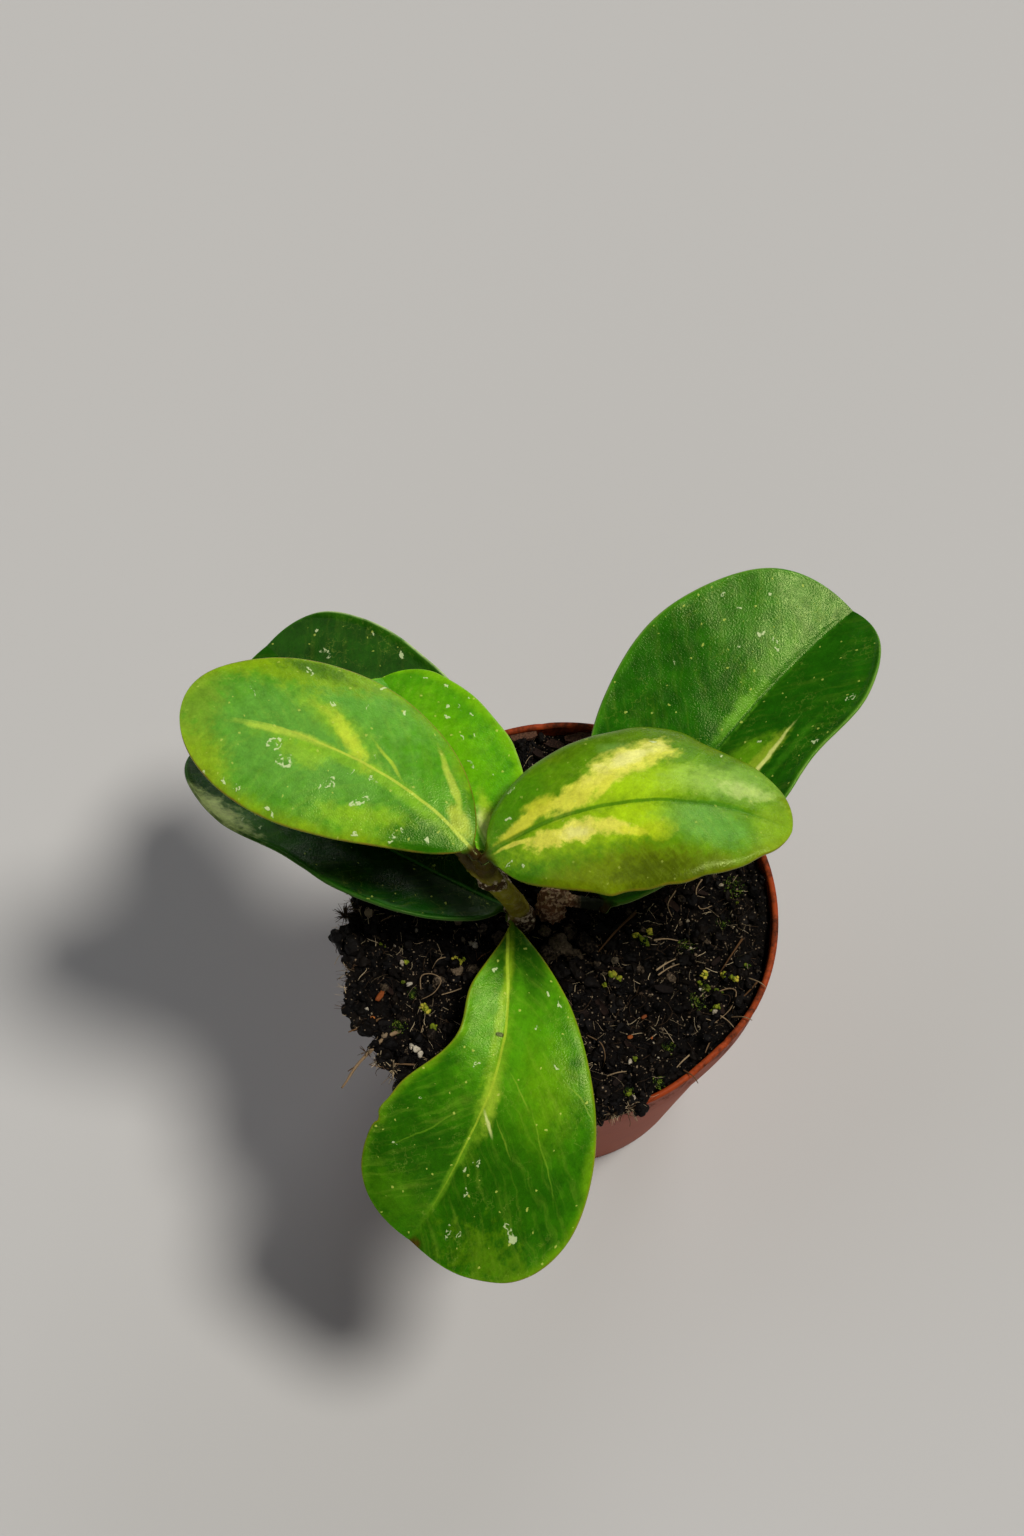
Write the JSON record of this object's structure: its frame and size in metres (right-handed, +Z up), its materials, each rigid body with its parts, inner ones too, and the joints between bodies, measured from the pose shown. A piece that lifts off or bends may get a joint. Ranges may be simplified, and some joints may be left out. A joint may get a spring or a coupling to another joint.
{
  "type": "potted variegated hoya obovata",
  "caption": "Young potted hoya with broad fleshy rounded leaves, streaked pale yellow and green, on a short woody stem in a terracotta coloured nursery pot filled with peat mix.",
  "frame": {"origin": "middle of the pot's underside, on its flat centre pad", "axes": "+Z up, +X to the right in the picture, +Y away from the front leaf"},
  "size_m": [0.1467, 0.1475, 0.1229],
  "materials": {
    "pot_plastic": "moulded polypropylene, terracotta coloured, satin",
    "potting_mix": "damp peat with bark chips, roots and pale mineral grains",
    "stem_bark": "olive brown young bark, smooth, with pale scars at the nodes",
    "woody_bark": "grey brown wrinkled bark",
    "leaf_mottled": "fleshy leaf, satin wax, pale midrib and yellow green patches",
    "leaf_splashed": "fleshy leaf, satin wax, pale yellow splash both sides of a green midrib",
    "leaf_bright": "fleshy leaf, satin wax, bright green with small pale flecks",
    "leaf_dark": "fleshy leaf, satin wax, deep green with small pale flecks"
  },
  "bodies": {
    "root": {"pot": "pot_plastic", "potting_mix": "potting_mix", "main_stem": "stem_bark", "woody_stub": "woody_bark", "leaf_top_left": "leaf_mottled", "leaf_top_right": "leaf_splashed", "leaf_upper_back": "leaf_bright", "leaf_back_right": "leaf_dark", "leaf_back_left": "leaf_dark", "leaf_low_left": "leaf_dark", "leaf_front": "leaf_bright"}
  },
  "joints": []
}
